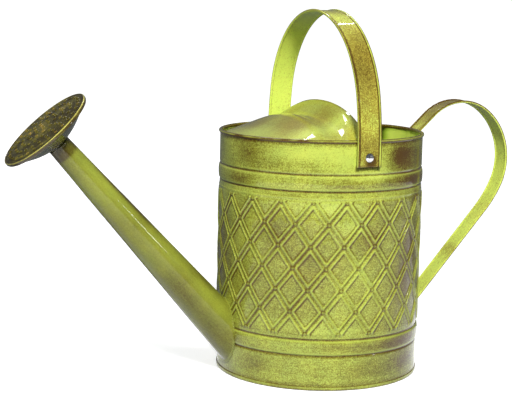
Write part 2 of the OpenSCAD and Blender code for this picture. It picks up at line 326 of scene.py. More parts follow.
def metal(name, light, dark, rough):
    """Bare metal with fine scratches and dull spots."""
    n = Nodes(name)
    coord = n.coordinates()
    cloud = n.noise(coord, 260.0, 3.0)
    fine = n.noise(coord, 1900.0, 3.0, 0.7)
    colour = n.mix(n.ramp(cloud, 0.35, 0.7), light, dark)
    return n.finish(
        Base_Color=colour,
        Metallic=1.0,
        Roughness=n.ramp(fine, 0.25, 0.75, rough, rough + 0.16),
        Normal=n.bump(fine, 0.00003, 0.4),
    )


LIME = rgb(194, 206, 94)
FRESH = rgb(222, 240, 110)
OLIVE = rgb(144, 144, 54)
BROWN = rgb(84, 56, 6)

wall_paint = paint("leaf_paint_wall", LIME, OLIVE, BROWN, bias=0.06,
                   blotch=0.14, streak=0.26, speck=1.15)
strap_paint = paint("leaf_paint_strap", FRESH, rgb(160, 146, 58), rgb(84, 60, 14),
                    blotch=0.16, streak=0.14, speck=0.95)
hood_paint = paint("leaf_paint_hood", LIME, rgb(154, 144, 46), rgb(112, 88, 14), bias=0.14,
                   blotch=0.16, streak=0.08, speck=0.8, gloss=0.03)
spout_paint = paint("leaf_paint_spout", rgb(152, 161, 62), rgb(130, 130, 48), rgb(70, 56, 6),
                    bias=0.22, blotch=0.2, streak=0.14, speck=0.5)
lining_paint = paint("leaf_paint_inside", FRESH, rgb(160, 186, 60), rgb(46, 56, 10),
                     blotch=0.2, streak=0.1, speck=0.14, gloss=0.08)
rose_back_paint = paint("leaf_paint_back", rgb(140, 150, 56), rgb(100, 108, 38), rgb(58, 58, 14),
                        bias=0.26, blotch=0.2, streak=0.14, speck=0.5, coat_ior=1.75)
rose_paint = paint("bronze_paint_rose", rgb(156, 122, 66), rgb(104, 98, 40), rgb(48, 38, 12),
                   bias=0.24, blotch=0.2, streak=0.8, speck=0.7, gloss=0.28, coat=0.35)
rose_hem_paint = paint("leaf_paint_hem", rgb(216, 206, 110), rgb(132, 124, 50), rgb(64, 50, 24),
                       blotch=0.3, streak=0.2, speck=0.35, gloss=0.06)
steel = metal("polished_steel", rgb(225, 225, 228), rgb(176, 176, 182), 0.14)
zinc = metal("zinc_plate", rgb(196, 198, 200), rgb(150, 152, 156), 0.3)


# ---- body wall ----

BANDS = (33.3, 189.3)  # heights where the two swaged bands start
BAND_H = 15.9
ROWS_TOP, ROW_STEP, ROWS = 179.25, 20.763, 6  # the lattice's top crossings, its rows
CELL_DEG, FIRST_DEG, SKEW_DEG = 18.0, 7.215, -0.503
LINE_MM = (25.7, 24.7)  # distance between lattice lines, each way
RIDGE_AT = 2.4  # from a lattice line to the ridge beside it
BORDER_Z = 183.4  # thin raised line above the lattice
SEAM_DEG = 0.0  # the wall's lap seam faces the rear handle
STRAP_DEG, STRAP_END_Z = -90, 211.4  # where the bail's end shades the wall
SHADE_DEG, SHADE_MM = 0.62, 0.75  # how far the ridges' shaded side is moved
MM_PER_DEG = 101.0 * math.pi / 180


def band_profile(z):
    """How far the two swaged bands move the wall outwards at height z, and their grooves."""
    out = np.zeros_like(z)
    cut = np.zeros_like(z)
    for z0 in BANDS:
        s = np.clip((z - z0 - 0.5) / (BAND_H - 1), 0, 1)
        bulge = 1.6 * (2 * np.sqrt(s * (1 - s))) ** 0.7
        for edge in (z0, z0 + BAND_H):
            cut = np.maximum(cut, bell(z - edge, 0.95))
        out += np.where((s > 0) & (s < 1), np.maximum(bulge - 0.5, -0.5), 0)
    return out - 0.62 * cut * (out < 0.6), cut


def panel_zone(z):
    """1 over the height of the diamond panel, 0 above and below it."""
    return smooth(z, 50.5, 55.0) * (1 - smooth(z, 181.5, 186.5))


def in_rows(w, lo=-0.1, hi=0.0):
    """1 over the lattice's rows, fading out from hi to lo rows past its two ends."""
    return smooth(w, lo, hi) * (1 - smooth(w, ROWS - hi, ROWS - lo))


def lattice(deg, z):
    """Distance to the nearest lattice line and to the nearest crossing, and the row."""
    w = (ROWS_TOP - z) / ROW_STEP
    u = (deg - FIRST_DEG - SKEW_DEG * w) / CELL_DEG
    a, b = u - w / 2, u + w / 2
    fa, fb = a - np.round(a), b - np.round(b)
    line = soft_min(np.abs(fa) * LINE_MM[0], np.abs(fb) * LINE_MM[1], 1.1)
    dx = (fa + fb) / 2 * CELL_DEG * MM_PER_DEG
    dz = (fb - fa) * ROW_STEP
    return line, np.hypot(dx, dz), w


def wall_radius(deg, z):
    """Outside radius of the wall, in millimetres."""
    out, _ = band_profile(z)
    zone = panel_zone(z)
    line, cross, w = lattice(deg, z)
    ridge = bell(line - RIDGE_AT, 1.02)
    boss = np.exp(-((cross / 1.45) ** 4)) - 0.5 * bell(cross, 0.6)
    hollow = 0.16 * bell(line, 1.3)
    crown = 0.22 * smooth(line, 3.4, 9.0)
    border = 0.3 * bell(z - BORDER_Z, 0.75)
    emboss = in_rows(w, -0.1, -0.02) * (ridge - hollow + crown) \
        + 0.85 * boss * in_rows(w, -0.2, -0.1)
    off = deg - SEAM_DEG
    seam = 0.22 * smooth(off, -2.6, -2.1) * (1 - smooth(off, 2.1, 2.6)) * (1 - zone)
    return BODY_R + out + zone * (0.25 + emboss) + border + seam


def dents(deg, z):
    """Faint unevenness of hand-finished sheet."""
    p = round_can(deg, BODY_R, z)
    return 0.10 * uneven(p, 46, 3) + 0.05 * uneven(p, 19, 5)


# brown smudges on the wall: direction in degrees, height, half-width and half-height in
# millimetres, strength
SMUDGES = (
    (-68, 220, 16, 11, 0.62), (-60, 225, 20, 8, 0.5), (-59, 211, 17, 8, 0.36),
    (-44, 216, 14, 14, 0.6), (-54, 197, 18, 6, 0.6), (-40, 197, 26, 6, 0.5),
    (-72, 197, 22, 5, 0.4), (-47, 181, 9, 7, 0.6), (-36, 168, 14, 20, 0.35),
    (-158, 222, 16, 12, 0.34), (-142, 214, 18, 9, 0.15), (-165, 196, 18, 6, 0.45),
    (-120, 216, 30, 6, 0.22), (-100, 196, 24, 4, 0.25), (-128, 185, 40, 3, 0.16),
    (-86, 146, 13, 15, 0.24), (-52, 132, 18, 26, 0.26), (-60, 96, 16, 18, 0.2),
    (-120, 120, 22, 16, 0.12), (-140, 148, 14, 16, 0.2), (-104, 42, 34, 4, 0.24),
    (-64, 41, 34, 5, 0.5), (-84, 18, 34, 8, 0.24), (-52, 20, 20, 10, 0.3),
    (-60, 22, 28, 14, 0.3), (-56, 44, 26, 8, 0.3), (-58, 120, 20, 50, 0.22),
    (-152, 20, 16, 8, 0.3), (-168, 40, 12, 8, 0.3), (-20, 120, 24, 50, 0.25),
    (60, 216, 34, 10, 0.5), (120, 130, 30, 34, 0.28), (150, 212, 26, 10, 0.5),
    (95, 40, 40, 8, 0.35), (30, 150, 26, 30, 0.28), (172, 120, 18, 40, 0.2),
    (85, 200, 40, 5, 0.3), (10, 26, 34, 8, 0.3), (135, 18, 30, 8, 0.3),
)
# cleaner, brighter places in the same form
RUBS = (
    (-102, 222, 34, 14, 0.4), (-128, 224, 26, 10, 0.34), (-84, 206, 16, 8, 0.25),
    (-110, 176, 40, 8, 0.3), (-96, 158, 16, 12, 0.3), (-132, 62, 34, 7, 0.28),
    (-104, 56, 34, 5, 0.22), (-125, 38, 26, 6, 0.2), (-90, 110, 18, 20, 0.15),
    (40, 200, 40, 30, 0.25), (110, 60, 40, 20, 0.25), (160, 170, 26, 30, 0.2),
)


def spots(deg, z, table):
    """Sum of the soft spots of a table, at directions deg and heights z on the wall."""
    total = np.zeros(np.broadcast(deg, z).shape)
    for d0, z0, wide, tall, k in table:
        d = (deg - d0 + 180) % 360 - 180
        total += k * np.exp(-((d * MM_PER_DEG / wide) ** 2) - ((z - z0) / tall) ** 2)
    return total


def deg_and_z(pts):
    """Direction and height of points about the can's axis."""
    return np.degrees(np.arctan2(pts[..., 1], pts[..., 0])), pts[..., 2]


def brush_round(deg, z):
    """Brush coordinates whose streaks run round the can."""
    a = np.radians(deg)
    return np.stack([np.cos(a) * 100 / 16, np.sin(a) * 100 / 16, z / 1.15], -1)


def wall_rows():
    """Heights of the wall's rows of points, closer together where there is more detail."""
    rows = [0.8, 2.0, 4.2, 4.8]
    z = 6.5
    while z < 234.7:
        rows.append(z)
        near = min(abs(z - e) for z0 in BANDS for e in (z0, z0 + BAND_H))
        if near < 2.2:
            z += 0.38
        elif 53 < z < 184.5:
            z += 0.84
        elif any(z0 < z < z0 + BAND_H for z0 in BANDS):
            z += 1.3
        else:
            z += 2.4
    return np.array(sorted(rows + [234.2, 234.75]))


def round_can(deg, radius, z):
    """Points at a direction, a radius and a height about the can's axis."""
    a = np.radians(deg)
    return np.stack([radius * np.cos(a), radius * np.sin(a), z], -1)


def outside_outlet(pts):
    """Faces of a grid that runs round the can that don't lie in the water hole."""
    hole = in_outlet(pts)
    return ~(hole[:-1, :] & hole[1:, :])


def build_wall():
    """The outside face, with bands, embossed lattice and seam, its painted marks and painted
    shade.
    """
    D, Z = np.meshgrid(np.linspace(-180, 180, 900, endpoint=False), wall_rows())
    pts = round_can(D, wall_radius(D, Z) + dents(D, Z), Z)
    e = 0.12
    dr_da = (wall_radius(D + e / MM_PER_DEG, Z) - wall_radius(D - e / MM_PER_DEG, Z)) / (2 * e)
    dr_dz = (wall_radius(D, Z + e) - wall_radius(D, Z - e)) / (2 * e)
    A = np.radians(D)
    nor = np.stack([np.cos(A) + dr_da * np.sin(A), np.sin(A) - dr_da * np.cos(A), -dr_dz], -1)

    line, cross, w = lattice(D, Z)
    inside = in_rows(w)
    _, cut = band_profile(Z)
    wander = value_noise(pts, 26, 11)
    groove = bell(line, 1.1) * (0.1 + 0.62 * wander)
    foot = bell(line - 4.1, 0.7) * (0.1 + 0.6 * wander) + bell(cross - 1.9, 0.45) * 0.5
    # painted shadow along the lower right side of each ridge
    moved = lattice(D - SHADE_DEG, Z + SHADE_MM)[0]
    shade = np.clip(bell(moved - RIDGE_AT, 0.9) - bell(line - RIDGE_AT, 0.9), 0, 1)
    panel = smooth(line, 3.2, 5.0) * (0.04 + 0.32 * value_noise(pts, 34, 12))
    glaze_and_shade = 0.32 + inside * (groove + foot + panel + 0.5 * shade - 0.06) + 0.6 * cut
    glaze_and_shade += 0.5 * bell(Z - 233.6, 1.6) + 0.3 * bell(Z - 5.0, 1.5)
    glaze_and_shade += spots(D, Z, SMUDGES) - spots(D, Z, RUBS)
    worn = inside * (bell(line - RIDGE_AT, 0.9) + 0.9 * bell(cross, 1.1)) \
        * (0.25 + 0.45 * wander)
    worn += 0.6 * bell(Z - BORDER_Z, 0.6)
    for z0 in BANDS:
        for edge, way in ((z0, 1), (z0 + BAND_H, -1)):
            worn += 0.75 * bell(Z - edge - way * 1.9, 0.7) \
                + 0.4 * bell(Z - edge + way * 1.5, 0.6)
    # painted shadow of the bail's lower end: a dark line on the wall just below it
    from_strap = np.abs(D - STRAP_DEG) * MM_PER_DEG
    glaze_and_shade += 1.3 * bell(Z - STRAP_END_Z, 1.2) * (1 - smooth(from_strap, 12.2, 13.4))
    obj = grid_mesh("can_wall", pts, True, np.clip(glaze_and_shade, 0, 1.4), np.clip(worn, 0, 1),
                    brush_round(D, Z), unit(nor), outside_outlet(pts))
    piece(obj, "can", wall_paint, "leaf_paint", "body_shell")


def build_lining():
    """The wall's inside face, seen through the mouth."""
    deg = np.linspace(-180, 180, 300, endpoint=False)
    zz = np.concatenate([np.linspace(4.8, 33, 8), np.arange(33.6, 50.5, 1.0),
                         np.linspace(52, 184, 90), np.arange(186, 207, 1.0),
                         np.linspace(209, 234.9, 16)])
    D, Z = np.meshgrid(deg, zz)
    out, cut = band_profile(Z)
    line, _, w = lattice(D, Z)
    inside = in_rows(w)
    lap = smooth(D, -2.8, -2.2) * (1 - smooth(D, 2.6, 3.0))
    R = (BODY_R - SHEET + out * 0.85
         + panel_zone(Z) * (0.25 + inside * 0.45 * bell(line, 2.6)) - 0.45 * lap + dents(D, Z))
    pts = round_can(D, R, Z)
    glaze_and_shade = 0.04 + 0.35 * cut + 0.4 * smooth(Z, 230, 235) + 0.3 * bell(Z - 5, 5)
    glaze_and_shade += 0.3 * (bell(D + 2.6, 0.4) + bell(D - 2.9, 0.4)) + inside * 0.1 * bell(line, 1.5)
    glaze_and_shade += 1.25 * bell(D - 28, 6) * smooth(Z, 190, 225)  # painted shadow inside, below the rim
    obj = grid_mesh("can_lining", pts[:, ::-1], True, glaze_and_shade[:, ::-1], 0.0,
                    brush_round(D, Z)[:, ::-1], None, outside_outlet(pts)[:, ::-1])
    piece(obj, "can", lining_paint, "leaf_paint", "body_shell")


# ---- rim, base ----


def build_rim():
    """Wired edge: the wall's top rolled outwards round a wire."""
    turn = np.radians(np.linspace(-118.0, 268.0, 34))
    prof = [(RIM_C + RIM_R * math.cos(t), RIM_Z + RIM_R * math.sin(t)) for t in turn]
    prof = [(BODY_R - 0.45, 234.1)] + prof + [(BODY_R - SHEET + 0.02, 234.2)]
    pts = lathe(prof, 420)
    swell = 1 + (0.0016 * uneven(pts, 31, 21)
                 + 0.0007 * uneven(pts, 9, 22))
    pts[..., :2] *= swell[..., None]
    t = np.concatenate([[turn[0]], turn, [turn[-1]]])[:, None]
    down = smooth(-np.sin(t), -0.2, 0.9)
    glaze_and_shade = 0.82 + 0.6 * down + 0.5 * bell(np.degrees(t) - 74, 17) \
        + 0.5 * (value_noise(pts, 22, 23) - 0.35)
    worn = bell(np.degrees(t) - 26, 20) * smooth(value_noise(pts, 12, 24), 0.2, 0.55)
    obj = grid_mesh("can_rim", pts, True, glaze_and_shade, worn * 0.7, brush_round(*deg_and_z(pts)))
    piece(obj, "can", wall_paint, "leaf_paint", "rim_wire")


def build_base():
    """Recessed floor, seamed round the wall's lower edge."""
    w = SHEET
    ri, ro, lift = BODY_R - w - 0.05, BODY_R + 0.8, 4.0
    top = [(0.5, lift + w), (ri - 3, lift + w), (ri, lift + w + 0.6)]
    seam_out = [(BODY_R + 0.04, lift + 0.1), (ro - 0.25, lift - 0.1), (ro, lift - 0.7),
                (ro, 0.75), (ro - 0.7, 0.03), (ri - w + 0.55, 0.03), (ri - w, 0.6),
                (ri - w, lift - 0.7), (ri - 1.8, lift)]
    under = [(82, lift), (80, lift + 0.5), (76, lift + 0.5), (74, lift), (36, lift),
             (34.5, lift + 0.4), (31.5, lift + 0.4), (30, lift), (0.5, lift)]
    outer = refine(rounded(seam_out + under, 0.5), 6)
    pts = lathe(outer, 360)
    edge = smooth(np.hypot(pts[..., 0], pts[..., 1]), 70, 40)
    pts[..., 2] += 0.35 * uneven(pts, 40, 31) * edge
    rad = np.hypot(pts[..., 0], pts[..., 1])
    glaze_and_shade = 0.36 + 0.5 * bell(pts[..., 2] - 3.9, 0.5) + 0.55 * bell(pts[..., 2] - 0.2, 0.8) \
        + 0.3 * (value_noise(pts, 18, 32) - 0.4)
    worn = 0.8 * bell(pts[..., 2] - 2.6, 0.9) * (rad > 100) * value_noise(pts, 14, 33)
    inner = lathe(refine(rounded(top, 1.0), 8), 240)
    inner[..., 2] += 0.3 * uneven(inner, 40, 31) \
        * smooth(np.hypot(inner[..., 0], inner[..., 1]), 90, 40)
    obj = grid_mesh("can_base", None, parts=[
        dict(pts=pts, close=True, glaze_and_shade=glaze_and_shade, worn=worn, grain=brush_round(*deg_and_z(pts)),
             flip=True),
        dict(pts=inner, close=True, glaze_and_shade=0.12, flip=True)])
    piece(obj, "can", wall_paint, "leaf_paint", "base_plate")


# ---- hood ----

HOOD_R = RIM_C - RIM_R - 0.15
HOOD_DROP = 5.1  # from the rim's top to the hood's seat
HOOD_Z = BODY_TOP - HOOD_DROP
HOOD_H = 29.3 + HOOD_DROP


def hood_shape(x, y):
    """The hood's height over its seat, as a share: a dome with a valley across its slope."""
    q = np.maximum(0, 1 - x * x - y * y)
    dome = 0.41 * q + 0.59 * q ** 0.54
    flare = 0.26 + 0.74 * np.exp(-((x / 0.456) ** 2))
    valley = 0.37 * np.exp(-(((x + 0.168 + 0.087 * y * y) / 0.138) ** 2))
    return dome * (flare - valley)


HOOD_PEAK = float(hood_shape(np.array(0.0), np.array(0.0)))


def hood_height(x, y):
    """Height of the hood's top face; x and y are shares of its radius, x not above 0."""
    return HOOD_Z + HOOD_H * hood_shape(x, y) / HOOD_PEAK


def build_hood():
    """Top face with its skirt, the same sheet's under face, and the open edge's rolled hem."""
    cols, rows = 200, 120
    a = np.radians(np.linspace(88.2, -88.2, cols))
    v = np.sin(np.pi / 2 * np.linspace(0, 1, rows) ** 0.92)
    V, A = np.meshgrid(v, a, indexing="ij")
    X, Y = -V * np.cos(A), np.sin(A)
    top = np.stack([HOOD_R * X, HOOD_R * Y, hood_height(X, Y)], -1)
    edge = smooth(1 - X * X - Y * Y, 0.0, 0.12)
    top[..., 2] += edge * 0.2 * uneven(top, 34, 41)
    # the skirt that fixes the hood inside the wall
    ring_x, ring_y = -np.cos(a), np.sin(a)
    skirt = []
    for r, z in ((97.85, 232.3), (98.1, 231.4), (98.9, 230.4), (99.2, 229.6), (99.2, 227.5)):
        skirt.append(np.stack([r * ring_x, r * ring_y, np.full(cols, z)], -1))
    top = np.concatenate([top, np.array(skirt)])
    nrm = unit(np.cross(np.gradient(top, axis=0), np.gradient(top, axis=1)))
    if nrm[rows // 2, cols // 2, 2] < 0:
        nrm = -nrm
    low = top - SHEET * nrm

    x, y = top[..., 0], top[..., 1]
    lobe = spots_xy(x, y, ((-46, -20, 20, 18, 0.16), (-52, -38, 18, 16, 0.14),
                           (-36, -38, 18, 16, 0.16), (-30, -6, 14, 16, 0.2),
                           (-58, 22, 16, 14, 0.25), (-14, -30, 10, 16, 0.16),
                           (-60, 48, 18, 14, 0.3), (-30, 44, 16, 14, 0.3)))
    clean = spots_xy(x, y, ((-74, -22, 16, 24, 0.3), (-40, -66, 30, 10, 0.26),
                            (-12, -58, 14, 14, 0.22), (-12, 6, 8, 24, 0.12)))
    glaze_and_shade = 0.24 + lobe - clean + 0.4 * smooth(np.hypot(x, y), 93, 98)
    glaze_and_shade += 0.3 * bell(x, 1.6)
    worn = 0.5 * bell(x + 1.2, 1.0)
    # rolled hem along the open edge
    arch = top[0]
    out = unit(np.cross(unit(np.gradient(arch, axis=0)), [1.0, 0, 0]))
    out[out[:, 2] < 0] *= -1
    turn = np.radians(np.linspace(60, 330, 15))
    hem_r = 0.95
    centre = arch - out * (hem_r - 0.12) + np.array([hem_r * 0.55, 0, 0])
    hem = np.stack([centre + hem_r * (np.cos(w) * np.array([-1.0, 0, 0]) + np.sin(w) * out)
                    for w in turn])
    hem_turn = np.degrees(turn)[:, None]
    hem_glaze = 0.3 + 0.6 * bell(hem_turn - 150, 40) + 0 * hem[..., 0]
    obj = grid_mesh("can_hood", None, parts=[
        dict(pts=top, glaze_and_shade=glaze_and_shade, worn=worn, grain=top / 9, flip=True),
        dict(pts=low, glaze_and_shade=0.12),
        dict(pts=hem, glaze_and_shade=hem_glaze, worn=0.25)])
    piece(obj, "can", hood_paint, "leaf_paint", "hood")


def spots_xy(x, y, table):
    """Sum of soft spots (x, y, half-widths, strength), in millimetres from above."""
    total = np.zeros_like(x)
    for x0, y0, wx, wy, k in table:
        total += k * np.exp(-(((x - x0) / wx) ** 2) - ((y - y0) / wy) ** 2)
    return total


# ---- spout and rose ----

SPOUT_DEG = 48.1  # its axis above the horizontal
SPOUT_Z = 44.0  # height where the axis meets the wall
OUTLET_R = 14.0
SPOUT_ROOT_R, SPOUT_TIP_R, SPOUT_L = 20.8, 11.0, 249.7
_s, _c = math.sin(math.radians(SPOUT_DEG)), math.cos(math.radians(SPOUT_DEG))
AXIS = np.array([-_c, 0.0, _s])
SIDE = np.array([0.0, 1.0, 0.0])
UP = np.array([_s, 0.0, _c])
FOOT = np.array([-BODY_R, 0.0, SPOUT_Z])


def on_spout(pts):
    """Points given about the spout's own axis (side, up, along) moved to their place."""
    p = np.asarray(pts, float)
    return (FOOT + p[..., :1] * SIDE + p[..., 1:2] * UP + p[..., 2:3] * AXIS)


def round_spout(angle, radius, along):
    """Points at an angle, a radius and a distance along the spout's axis."""
    return on_spout(np.stack([radius * np.sin(angle), radius * np.cos(angle), along], -1))


def spout_radius(s):
    """Outside radius of the spout's cone, s along its axis."""
    return SPOUT_ROOT_R - (SPOUT_ROOT_R - SPOUT_TIP_R) * s / SPOUT_L


def in_outlet(pts):
    """True where a point of the wall lies in the water hole behind the spout."""
    rel = np.asarray(pts) - FOOT
    along = rel @ AXIS
    off = rel - along[..., None] * AXIS
    return (np.linalg.norm(off, axis=-1) < OUTLET_R) & (np.asarray(pts)[..., 0] < -60)


def meet_wall(angle, grow=0.0, wall=BODY_R):
    """Where each line of the spout's cone meets the wall, as a distance along the axis."""
    lo, hi = np.full(angle.shape, -40.0), np.full(angle.shape, 60.0)
    for _ in range(40):
        mid = (lo + hi) / 2
        r = spout_radius(mid) + grow
        p = round_spout(angle, r, mid)
        outside = np.hypot(p[..., 0], p[..., 1]) > wall
        hi = np.where(outside, mid, hi)
        lo = np.where(outside, lo, mid)
    return (lo + hi) / 2


def build_spout():
    """The spout's cone with its lap seam below, its rolled lip and the first of its bore."""
    cols, rows = 200, 210
    ang = np.linspace(0, 2 * np.pi, cols, endpoint=False)
    start = meet_wall(ang, 0, BODY_R - 0.2)
    T, A = np.meshgrid(np.linspace(0, 1, rows), ang, indexing="ij")
    S = start + (SPOUT_L - 0.5 - start) * T
    flat = np.stack([np.sin(A), np.cos(A), S / 60], -1) * 30
    ripple = 0.16 * uneven(flat, 14, 51)
    seam = 0.3 * smooth(np.degrees(A), 186, 188) * (1 - smooth(np.degrees(A), 200, 201.5))
    R = spout_radius(S) + ripple * smooth(T, 0, 0.06) + seam * smooth(T, 0.01, 0.04) - 0.05
    outer = round_spout(A, R, S)
    # the rolled lip and the inside
    lip = [(SPOUT_TIP_R + 0.02, -0.5), (SPOUT_TIP_R + 0.02, -0.25), (SPOUT_TIP_R - 0.1, 0.0),
           (SPOUT_TIP_R - 0.5, 0.02), (SPOUT_TIP_R - SHEET + 0.02, -0.15)]
    lip += [(SPOUT_TIP_R - SHEET + 0.02 + (14.6 - SPOUT_TIP_R) * d / 100, -d)
            for d in (1, 3, 6, 12, 24, 40, 70, 100)]
    turn = np.array([[(r * math.sin(t), r * math.cos(t), SPOUT_L + d) for t in ang]
                     for r, d in lip])
    pts = np.concatenate([outer, on_spout(turn)])
    along = np.concatenate([S, np.array([[SPOUT_L + d] * cols for _, d in lip])])
    side = np.concatenate([A, np.broadcast_to(ang, (len(lip), cols))])
    deg = (np.degrees(side) + 180) % 360 - 180  # 0 on top, positive towards +Y
    # brown glaze patches; the last term darkens the tip with painted shadow of the rose
    glaze_and_shade = 0.26 + 1.2 * bell(along - 176, 34) * bell(deg + 14, 22) \
        + 0.22 * bell(along - 55, 40) * bell(deg + 120, 22) \
        + 0.18 * bell(along - 12, 20) * bell(deg + 125, 30) \
        + 0.35 * bell(along - 52, 15) * bell(deg + 30, 18) \
        + 0.5 * smooth(along, SPOUT_L - 15, SPOUT_L - 11)
    glaze_and_shade -= 0.16 * bell(deg + 62, 22)
    glaze_and_shade += 0.25 * bell(deg - 187, 3) + 0.25 * bell(deg + 173, 3) \
        + 0.4 * uneven(pts, 30, 52)
    grain = np.stack([np.sin(side) * 12, np.cos(side) * 12, along / 14], -1)
    obj = grid_mesh("can_spout", pts, True, np.clip(glaze_and_shade, 0, 1.3), 0.0, grain)
    piece(obj, "can", spout_paint, "leaf_paint", "spout_tube")


def build_solder():
    """Soldered fillet where the spout meets the wall, drawn up in small steps."""
    cols, rows, count = 480, 14, 74
    ang = np.linspace(0, 2 * np.pi, cols, endpoint=False)
    steps = np.floor(ang / (2 * np.pi) * count)
    wave = 0.5 + 0.5 * np.cos(ang * count)
    lump = 0.75 + 0.25 * hash3(steps.astype(np.int64), steps.astype(np.int64) * 3 + 1,
                               np.full(cols, 5), 4)
    size = 1.35 + 0.55 * (1 - wave) * lump
    fillet = []
    s0 = meet_wall(ang, 0, BODY_R)
    for t in np.linspace(0, 1, rows):
        # from a foot on the wall to a toe on the spout, bulging in between
        grow = size * (1 - t) ** 1.2
        s1 = meet_wall(ang, grow, BODY_R + 0.05)
        s_here = s1 * (1 - t) + (s0 + size * 1.25) * t
        bulge = 0.38 * math.sin(math.pi * t) * size
        r = spout_radius(s_here) + grow * (1 - t) * 0.35 \
            + 0.65 * size * (1 - t) ** 2 + bulge * 0.35
        p = round_spout(ang, r, s_here)
        rad = np.hypot(p[:, 0], p[:, 1])
        lift = np.where(rad < BODY_R + 0.25, (BODY_R + 0.25) / rad, 1.0)
        p[:, :2] *= lift[:, None]
        fillet.append(p)
    pts = np.array(fillet)
    glaze_and_shade = 0.18 + 0.4 * wave[None, :] ** 6 * np.ones((rows, 1))
    worn = 0.6 * np.sin(np.pi * np.linspace(0, 1, rows))[:, None] * (1 - wave)[None, :]
    obj = grid_mesh("spout_weld", pts, True, glaze_and_shade, worn)
    piece(obj, "can", spout_paint, "leaf_paint", "spout_solder")


NECK_R = SPOUT_TIP_R - SHEET - 0.06
ROSE_R, ROSE_L, ROSE_DOME, HEM_H = 47.3, 20.4, 3.0, 4.0
SEAT_R, LIP_R = ROSE_R - 2.0, ROSE_R - 1.25  # inside of the hem behind and in front
HOLE_RINGS, HOLE_R = 5, 0.5


def turned(profile, cols, step):
    """A profile [(radius, distance past the tip)] turned about the spout's axis."""
    prof = refine(np.asarray(profile, float), step)
    ang = np.linspace(0, 2 * np.pi, cols, endpoint=False)
    flat = np.stack([prof[:, :1] * np.sin(ang), prof[:, :1] * np.cos(ang),
                     SPOUT_L + prof[:, 1:2] + 0 * ang], -1)
    return flat, prof, ang


def build_rose_back():
    """The neck's sleeve and the trumpet-shaped back."""
    w = SHEET
    prof = rounded([(NECK_R - w, 1.4), (NECK_R - w, -21.8), (NECK_R - w * 0.5, -22.1),
                    (NECK_R, -21.7), (NECK_R, -12), (NECK_R, 1.4)], 0.25)
    flat, prof, ang = turned(prof, 120, 1.0)
    pts = on_spout(flat)
    glaze_and_shade = 0.5 + 0.4 * smooth(prof[:, 1:2], -6, 0) + 0 * ang
    obj = grid_mesh("rose_neck", pts, True, glaze_and_shade, 0.0, flat / 6)
    piece(obj, "rose", spout_paint, "leaf_paint", "rose_neck")

    # the back has a collar at the neck and a flange in the hem
    back = [(NECK_R + 0.05, 0.35), (NECK_R + 0.75, 0.35), (NECK_R + 1.0, 0.75), (11.7, 1.0),
            (14.5, 2.1), (19.7, 3.9), (25.7, 6.3), (31.5, 9.3), (38.0, 13.0), (43.2, 15.9),
            (45.2, 16.75), (46.4, 17.0)]
    inner = [(46.4, 17.5), (44.8, 17.4), (42.8, 16.7), (37.6, 13.8), (31.1, 10.1),
             (25.3, 7.1), (19.3, 4.7), (14.2, 2.9), (NECK_R + 0.05, 1.9)]
    prof = rounded(back + inner, 0.9)
    flat, prof, ang = turned(prof, 200, 1.3)
    pts = on_spout(flat)
    outer = (np.arange(len(prof)) < len(prof) * 0.55)[:, None]
    glaze_and_shade = np.where(outer, 0.8 + 0.25 * bell(prof[:, :1] - 12, 4)
                     + 0.2 * smooth(prof[:, :1], 38, 46), 0.5) \
        + 0.45 * uneven(pts, 15, 61)
    obj = grid_mesh("rose_back", pts, True, glaze_and_shade, 0.0, flat / 8)
    piece(obj, "rose", rose_back_paint, "leaf_paint", "rose_cone")


def rose_holes():
    """Places of the punched holes, in rings round the middle one."""
    holes = [(0.0, 0.0)]
    for k in range(1, HOLE_RINGS + 1):
        for i in range(6 * k):
            a = math.radians(60 * i / k + 7 * k)
            r = (SEAT_R - 5) * k / HOLE_RINGS
            holes.append((r * math.cos(a), r * math.sin(a)))
    return holes


